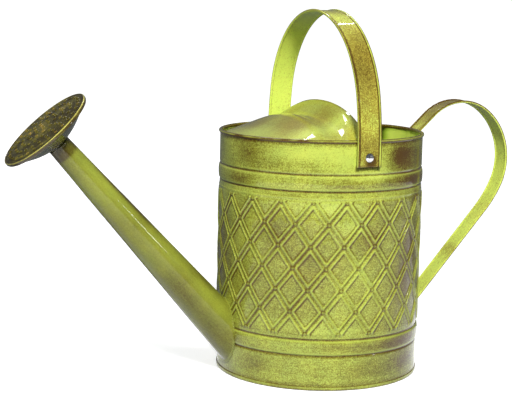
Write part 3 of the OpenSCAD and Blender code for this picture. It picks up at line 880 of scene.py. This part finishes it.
def build_rose_face():
    """Sprinkler plate, each hole in its own small burr, and the hem that holds it."""
    ball = (LIP_R * LIP_R + ROSE_DOME * ROSE_DOME) / (2 * ROSE_DOME)
    rad = np.concatenate([[0.15], np.arange(0.5, LIP_R - 0.2, 0.42), [LIP_R - 0.15]])
    ang = np.linspace(0, 2 * np.pi, 560, endpoint=False)
    Rr, A = np.meshgrid(rad, ang, indexing="ij")
    hx, hy = Rr * np.cos(A), Rr * np.sin(A)
    near = np.full(Rr.shape, 99.0)
    for x, y in rose_holes():
        near = np.minimum(near, np.hypot(hx - x, hy - y))
    dome = ROSE_L - SHEET + ROSE_DOME - ball + np.sqrt(ball * ball - Rr * Rr)
    burr = 0.85 * bell(near - 1.25, 0.55) - 1.0 * bell(near, 0.75)
    flat3 = np.stack([hx, hy, dome], -1)
    rough = 0.35 * uneven(flat3, 11, 71) + 0.18 * uneven(flat3, 4, 72)
    relief = (burr + rough) * smooth(LIP_R - Rr, 0.0, 2.0)
    top = np.stack([hx, hy, SPOUT_L + dome + relief], -1)
    low = np.stack([hx, hy, SPOUT_L + dome - SHEET + 0.3 * burr], -1)
    keep = outside_holes(near < HOLE_R)
    glaze_and_shade = 0.62 + 0.55 * bell(near, 0.95) - 0.45 * bell(near - 1.3, 0.45) \
        + 0.75 * uneven(flat3, 13, 73) + 0.2 * smooth(Rr, SEAT_R - 3, SEAT_R)
    worn = 0.7 * bell(near - 1.2, 0.4) * smooth(value_noise(flat3, 9, 74), 0.5, 0.72)
    # hem folded round the flange of the back
    z0, z1 = ROSE_L - HEM_H, ROSE_L
    hem = rounded([(LIP_R - 0.3, z1 - 2 * SHEET + 0.2), (LIP_R - 0.15, z1 - 0.7),
                   (LIP_R + 0.1, z1 - 0.3), (ROSE_R - 0.5, z1 - 0.25), (ROSE_R, z1 - 0.8),
                   (ROSE_R, z0 + 0.9), (ROSE_R - 0.7, z0 + 0.02), (SEAT_R + 0.6, z0 + 0.02),
                   (SEAT_R + 0.2, z0 + 0.35), (SEAT_R + 0.2, z0 + 0.7)], 0.7, 5)
    hem_flat, hem_prof, _ = turned(hem, 300, 0.6)
    wob = 1 + 0.0035 * uneven(hem_flat, 12, 75)
    hem_flat[..., :2] *= wob[..., None]
    turn_out = smooth(hem_prof[:, :1], SEAT_R + 0.6, ROSE_R - 0.2)
    hem_glaze = 1.0 + 0.35 * (value_noise(hem_flat, 9, 76) - 0.4)
    hem_worn = turn_out * bell(hem_prof[:, 1:2] - (z1 - 0.6), 0.42) \
        * (0.55 + 0.9 * value_noise(hem_flat, 24, 77))
    obj = grid_mesh("rose_face", None, parts=[
        dict(pts=on_spout(top), close=True, glaze_and_shade=glaze_and_shade, worn=worn, keep=keep,
             grain=np.stack([Rr / 1.7, np.cos(A) * 2, np.sin(A) * 2], -1)),
        dict(pts=on_spout(low)[:, ::-1], close=True, glaze_and_shade=0.5, keep=keep[:, ::-1])])
    piece(obj, "rose", rose_paint, "bronze_paint", "rose_face")
    obj = grid_mesh("rose_hem", on_spout(hem_flat), True, hem_glaze, hem_worn, hem_flat / 7,
                    flip=True)
    piece(obj, "rose", rose_hem_paint, "leaf_paint", "rose_face")


def outside_holes(hole):
    """Faces of a closed grid to keep: one goes when all four of its corners are in a hole."""
    h = np.concatenate([hole, hole[:, :1]], 1)
    return ~(h[:-1, :-1] & h[1:, :-1] & h[:-1, 1:] & h[1:, 1:])


# ---- straps ----

BEAD_R = 1.3


def strap_section(width):
    """Outline of a strap across its width: (across, outwards), glaze and rub, as a loop.

    A flat web with each edge rolled over a thin wire, a dark crease beside each roll.
    """
    c = width / 2 - BEAD_R
    t = SHEET / 2
    join = math.degrees(math.asin((t + 0.18) / BEAD_R))

    def edge(side, rubbed):
        """One rolled edge, from the web's front round to its back."""
        rows = [(c - 1.9, t - 0.02, 0.7, 0.0), (c - 1.5, t, 1.2, 0.0),
                (c - 1.16, t + 0.12, 1.25, 0.0)]
        for a in np.linspace(180 - join, -180 + join * 0.8, 18):
            glaze_and_shade = 0.04 if a <= 0 else 1.2 if a > 150 else 0.8
            rows.append((c + BEAD_R * math.cos(math.radians(a)),
                         BEAD_R * math.sin(math.radians(a)),
                         glaze_and_shade, float(rubbed[0] < a < rubbed[1])))
        rows += [(c - 1.3, -t - 0.02, 0.3, 0.0), (c - 1.6, -t, 0.1, 0.0)]
        return [(side * x, o, g, r) for x, o, g, r in rows]

    front = [(x, t - 0.10 * (1 - (x / c) ** 2), 0.46, 0.0)
             for x in np.linspace(2.4 - c, c - 2.4, 9)]
    back = [(x, -t, 0.02, 0.0) for x in np.linspace(c - 2.2, 2.2 - c, 9)]
    loop = np.array(front + edge(1, (88, 140)) + back + edge(-1, (10, 62))[::-1])
    return loop[:, :2], loop[:, 2], loop[:, 3]


def run_path(segs, start, heading):
    """Points and headings along straights (0, length) and bends (radius, sweep degrees)."""
    step = 1.1
    p, h = np.array(start, float), math.radians(heading)
    out_p, out_h = [p.copy()], [h]
    for r, a in segs:
        if r == 0:
            n = max(2, int(a / step))
            for i in range(n):
                p = p + a / n * np.array([math.cos(h), math.sin(h)])
                out_p.append(p.copy())
                out_h.append(h)
        else:
            sweep = math.radians(a)
            n = max(4, int(abs(sweep) * r / step), int(abs(a) / 3))
            sgn = 1 if a > 0 else -1
            for i in range(n):
                h2 = h + sweep / n
                p = p + sgn * r * np.array([math.sin(h2) - math.sin(h),
                                            math.cos(h) - math.cos(h2)])
                h = h2
                out_p.append(p.copy())
                out_h.append(h)
    return np.array(out_p), np.array(out_h)


def sweep_strap(name, width, path, head, place, extra_glaze_and_shade):
    """A strap along a flat path, its outside to the right of the way travelled.

    place maps points of the path's plane and distances across the strap into the frame.
    """
    sec, sec_glaze, sec_worn = strap_section(width)
    length = np.concatenate([[0], np.cumsum(np.linalg.norm(np.diff(path, axis=0), axis=1))])
    out = np.stack([np.sin(head), -np.cos(head)], -1)
    # each end is pinched shut: two rows of a smaller section, then one with no thickness
    last = len(path) - 1
    order = [(0, 0.45), (0, 0.8)] + [(i, 1.0) for i in range(len(path))] \
        + [(last, 0.8), (last, 0.45)]
    pts, rows = [], []
    for i, size in order:
        flat = path[i][None, :] + sec[:, 1:2] * size * out[i][None, :]
        pts.append(place(flat, sec[:, 0] * (1 - (1 - size) * 0.03)))
        rows.append(length[i])
    across = (-np.arange(len(sec))) % len(sec)
    ends = [(end + end[across]) / 2 for end in (pts[0], pts[-1])]
    pts = np.array([ends[0]] + pts + [ends[1]])
    rows = [rows[0]] + rows + [rows[-1]]
    along = np.array(rows)[:, None]
    x, depth = (np.broadcast_to(sec[:, k], pts.shape[:2]) for k in (0, 1))
    flat3 = np.stack([x, along + 0 * x, depth], -1)
    glaze_and_shade = sec_glaze + extra_glaze_and_shade(along, x, depth) \
        + np.where(depth > 0, 0.34 * uneven(flat3, 24, 81), 0.0)
    worn = sec_worn * (0.35 + 0.65 * value_noise(flat3, 13, 82))
    grain = flat3 / [1, 9, 1]
    return grid_mesh(name, pts, True, np.clip(glaze_and_shade, 0, 1.3), worn, grain, flip=True)


LEG_Y, PIVOT_Z, BAIL_TOP, LEAN = 103.5, 222.0, 356.3, 10.0
TAIL_L, BAIL_W, HANDLE_W = 9.0, 25.0, 22.0  # bail below its pivots, strap widths


def build_bail():
    """The bail: two legs, two wide bends and a rounder crown."""
    cs, sn = math.cos(math.radians(LEAN)), math.sin(math.radians(LEAN))
    rise = BAIL_TOP - BEAD_R - PIVOT_Z
    low_r = (rise * cs - LEG_Y * (1 - sn)) / (sn * cs - (1 - cs) * (1 - sn))
    crown_r = (LEG_Y - low_r * (1 - cs)) / cs
    segs = [(0, TAIL_L), (low_r, LEAN), (crown_r, 180 - 2 * LEAN), (low_r, LEAN), (0, TAIL_L)]
    # in (y, z): starts at +Y going up, over the crown, down at -Y
    path, head = run_path(segs, (LEG_Y, PIVOT_Z - TAIL_L), 90.0)

    def place(flat, x):
        return np.stack([x, flat[:, 0], flat[:, 1]], -1)

    strap_l = 400.0  # about its whole length

    def more(along, x, o):
        near = strap_l - along  # distance from the -Y end
        front = (o > 0)
        g = 0.18 * bell(near - 95, 60) - 0.14 * bell(near - 170, 40) + 0.1 * bell(near - 20, 12)
        ends = 0.3 * bell(near, 2.5) + 0.3 * bell(along, 2.5)
        for away in (near, along):  # painted shadow cast below each rivet head
            ends = ends + 1.6 * bell(np.hypot(x - 2.2, away - 6.2), 4.4) * front
        return g * front + ends

    obj = sweep_strap("bail", BAIL_W, path, head, place, more)
    piece(obj, "bail", strap_paint, "leaf_paint", "bail_strap")


def build_rear_handle():
    """The fixed handle: a foot, a straight leg, three arcs over the top, and a head."""
    leg_deg, leg_z, leg_l = 49.0, 50.8, 127.0
    foot_x, head_x = BODY_R + 1.1 + BEAD_R - 0.4, BODY_R + BEAD_R - 0.4
    foot_bend, head_bend, foot_l, head_l = 6.0, 5.0, 20.0, 16.0
    turn = 90 - leg_deg
    t = math.radians(turn)
    foot_z = leg_z + (foot_x + foot_bend * (1 - math.cos(t)) - BODY_R) \
        * math.tan(math.radians(leg_deg)) - foot_bend * math.sin(t)
    arcs = [(0, leg_l), (123.0, 14.0), (63.0, 81.0), (48.9, 79.0)]
    top_h = leg_deg + 14 + 81 + 79
    start = (foot_x, foot_z - foot_l)
    trial, _ = run_path([(0, foot_l), (foot_bend, -turn)] + arcs, start, 90.0)
    end = trial[-1]
    h = math.radians(top_h)
    neck = (end[0] - head_x + head_bend * (-1 - math.sin(h))) / -math.cos(h)
    segs = [(0, foot_l), (foot_bend, -turn)] + arcs + [(0, neck), (head_bend, 270 - top_h),
                                                      (0, head_l)]
    path, head = run_path(segs, start, 90.0)

    def place(flat, x):
        return np.stack([flat[:, 0], -x, flat[:, 1]], -1)

    total = float(np.linalg.norm(np.diff(path, axis=0), axis=1).sum())

    def more(along, x, o):
        front = (o > 0)
        g = 0.22 * bell(total - along - 70, 34) + 0.12 * bell(along - 90, 40)
        inner = (0.12 + 0.22 * bell(along - 96, 9) + 0.1 * bell(along - 150, 16)) * (o < 0)
        return g * front + inner + 0.3 * bell(along, 3.0) + 0.3 * bell(total - along, 3.0)

    obj = sweep_strap("rear_handle_strap", HANDLE_W, path, head, place, more)
    piece(obj, "can", strap_paint, "leaf_paint", "rear_handle")


# ---- rivets ----


def rivet_mesh(name, shank, frame_matrix, body, node):
    """A domed rivet along +Z: head above z = 0, shank to -shank, spread tail below."""
    head = rounded([(0.02, 2.6), (1.8, 2.35), (3.2, 1.75), (4.15, 0.8), (4.42, 0.25),
                    (4.3, 0.0), (2.5, 0.0), (2.5, -shank), (2.8, -shank - 0.15),
                    (3.45, -shank - 1.1), (3.3, -shank - 1.5), (2.2, -shank - 1.6),
                    (0.02, -shank - 1.35)], 0.35, 3)
    prof = refine(head, 0.5)
    pts = lathe(prof, 64)
    dimple = 0.10 * uneven(pts, 2.6, 91) + 0.05 * uneven(pts, 1.1, 92)
    rad = np.hypot(pts[..., 0], pts[..., 1])
    pts[..., 2] += dimple * smooth(pts[..., 2], 0.3, 1.5) * smooth(rad, 0.0, 0.6)
    m = np.array(frame_matrix)
    pts = pts @ m[:3, :3].T + m[:3, 3]
    obj = grid_mesh(name, pts, True, flip=True)
    piece(obj, body, steel, "rivet_steel", node)


def build_rivets():
    """The bail's two pivots and the rear handle's two fixings."""
    washer, gap, head_h = 1.2, 0.3, 2.6
    pin_out = LEG_Y - BODY_R + SHEET / 2 + gap
    pin_in = SHEET + washer + 0.15
    for side, label in ((-1, "left"), (1, "right")):
        m = Matrix.Translation((0, side * (BODY_R + pin_out), PIVOT_Z)) \
            @ Matrix.Rotation(math.radians(-90 * side), 4, "X")
        rivet_mesh(f"bail_rivet_head_{label}", pin_out + pin_in, m, "can", f"bail_rivet_{label}")
    for label, node in (("upper", "handle_rivet_upper"), ("lower", "handle_rivet_lower")):
        lo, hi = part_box(node)
        z = (lo.z + hi.z) / 2 / MM
        x_head = hi.x / MM - head_h
        m = Matrix.Translation((x_head, 0, z)) @ Matrix.Rotation(math.radians(90), 4, "Y")
        rivet_mesh(f"handle_rivet_head_{label}", x_head - BODY_R + pin_in, m, "can", node)


# ---- build ----

build_wall()
build_lining()
build_rim()
build_base()
build_hood()
build_spout()
build_solder()
build_rose_back()
build_rose_face()
build_bail()
build_rear_handle()
build_rivets()

# the collars and washers keep their CAD meshes, with a better material
for node in ("bail_spacer_left", "bail_spacer_right", "bail_washer_left", "bail_washer_right",
             "handle_washer_upper", "handle_washer_lower"):
    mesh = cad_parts[node].data
    mesh.materials.clear()
    mesh.materials.append(zinc)


# ---- floor, light, camera ----

scene = bpy.context.scene
scene.view_settings.view_transform = "Standard"


def stage_sheet(name, rows, xs, glow, glossy):
    """A pale sheet over rows of (y, z) and across xs, in metres, with a little glow."""
    pts = np.array([[(x / MM, y / MM, z / MM - 0.02) for x in xs] for y, z in rows])
    obj = grid_mesh(name, pts)
    n = Nodes(name + "_surface")
    coord = n.coordinates()
    haze = n.noise(coord, 1.5, 2.0)
    obj.data.materials.append(n.finish(
        Base_Color=n.mix(haze, (0.86, 0.86, 0.86, 1), (0.88, 0.88, 0.885, 1)),
        Roughness=0.7,
        Specular_IOR_Level=0.2,
        Emission_Color=(1, 1, 1, 1),
        Emission_Strength=glow,
    ))
    obj.visible_glossy = glossy
    obj.visible_diffuse = False


def build_floor():
    """A pale floor round the can, and a pale sweep beyond it that curves up at the back."""
    near = [(y, 0.0) for y in np.linspace(-1.2, 0.1, 9)]
    stage_sheet("floor", near, np.linspace(-1.2, 1.2, 13), 0.56, True)
    behind = [(y, 0.0) for y in np.linspace(0.1, 1.2, 8)]
    stage_sheet("floor_behind", behind, np.linspace(-1.2, 1.2, 13), 0.62, False)
    low, back, bend = -0.002, 7, 1.5
    sweep = [(y, low) for y in np.linspace(-9, back, 30)]
    for a in np.radians(np.linspace(6, 90, 14)):
        sweep.append((back + bend * math.sin(a), bend * (1 - math.cos(a)) + low))
    sweep.append((back + bend, 6.0))
    stage_sheet("backdrop", sweep, np.linspace(-9, 9, 30), 0.95, False)


def area_light(name, aim, azimuth, elevation, distance, size, watts, glossy=True,
               shape="RECTANGLE", lean=0.0):
    """A soft light that looks at aim from a direction in degrees and a distance in metres."""
    data = bpy.data.lights.new(name, "AREA")
    data.shape = shape
    data.size, data.size_y = size
    data.energy = watts
    obj = bpy.data.objects.new(name, data)
    scene.collection.objects.link(obj)
    a, e = math.radians(azimuth), math.radians(elevation)
    obj.location = Vector(aim) + distance * Vector(
        (math.cos(a) * math.cos(e), math.sin(a) * math.cos(e), math.sin(e)))
    turn = (Vector(aim) - obj.location).to_track_quat("-Z", "Y")
    tilt = Matrix.Rotation(math.radians(lean), 4, "Z").to_quaternion()
    obj.rotation_euler = (turn @ tilt).to_euler()
    obj.visible_glossy = glossy


build_floor()
world = bpy.data.worlds.new("studio")
scene.world = world
world.use_nodes = True
background = world.node_tree.nodes["Background"]
background.inputs["Color"].default_value = (0.92, 0.98, 1.0, 1)
background.inputs["Strength"].default_value = 0.17

MIDDLE = (-0.03, 0.0, 0.2)
HOOD_TOP = (0.0, 0.0, 0.26)
BAIL_CROWN = (0.0, -0.045, 0.345)
SPOUT_MIDDLE = (-0.2, 0.0, 0.16)
area_light("key", MIDDLE, -105, 36, 1.9, (0.3, 0.3), 40, glossy=False)
area_light("glint", MIDDLE, -105, 36, 1.9, (0.08, 0.08), 0.8)
area_light("front", MIDDLE, -140, 16, 2.4, (1.4, 1.0), 14, glossy=False)
area_light("back_wide", HOOD_TOP, 94, 52, 1.7, (0.386, 0.237), 5, shape="ELLIPSE", lean=-15)
area_light("back_small", HOOD_TOP, 73.5, 50.5, 1.7, (0.178, 0.178), 1.7, shape="ELLIPSE")
area_light("rear_fill", MIDDLE, 75, 18, 2.6, (1.2, 0.9), 3.5, glossy=False)
area_light("bail_strip", BAIL_CROWN, 46.5, 49.3, 1.7, (0.3, 0.05), 1.2, lean=12)
area_light("side", SPOUT_MIDDLE, -42, 16, 2.2, (0.1, 0.16), 1.7)

CAMERA_AT = (-0.5959, -1.2324, 0.3726)
CAMERA_TO = (0.3887, 0.9087, -0.1521)  # direction of view
CAMERA_ROLL, SENSOR_MM, LENS_MM = 1.14, 36.0, 97.48
cam_data = bpy.data.cameras.new("camera")
cam_data.sensor_width = SENSOR_MM
cam_data.lens = LENS_MM
cam = bpy.data.objects.new("camera", cam_data)
scene.collection.objects.link(cam)
cam.location = CAMERA_AT
cam.rotation_mode = "QUATERNION"
roll = Matrix.Rotation(math.radians(CAMERA_ROLL), 4, "Z").to_quaternion()
cam.rotation_quaternion = Vector(CAMERA_TO).to_track_quat("-Z", "Y") @ roll
scene.camera = cam
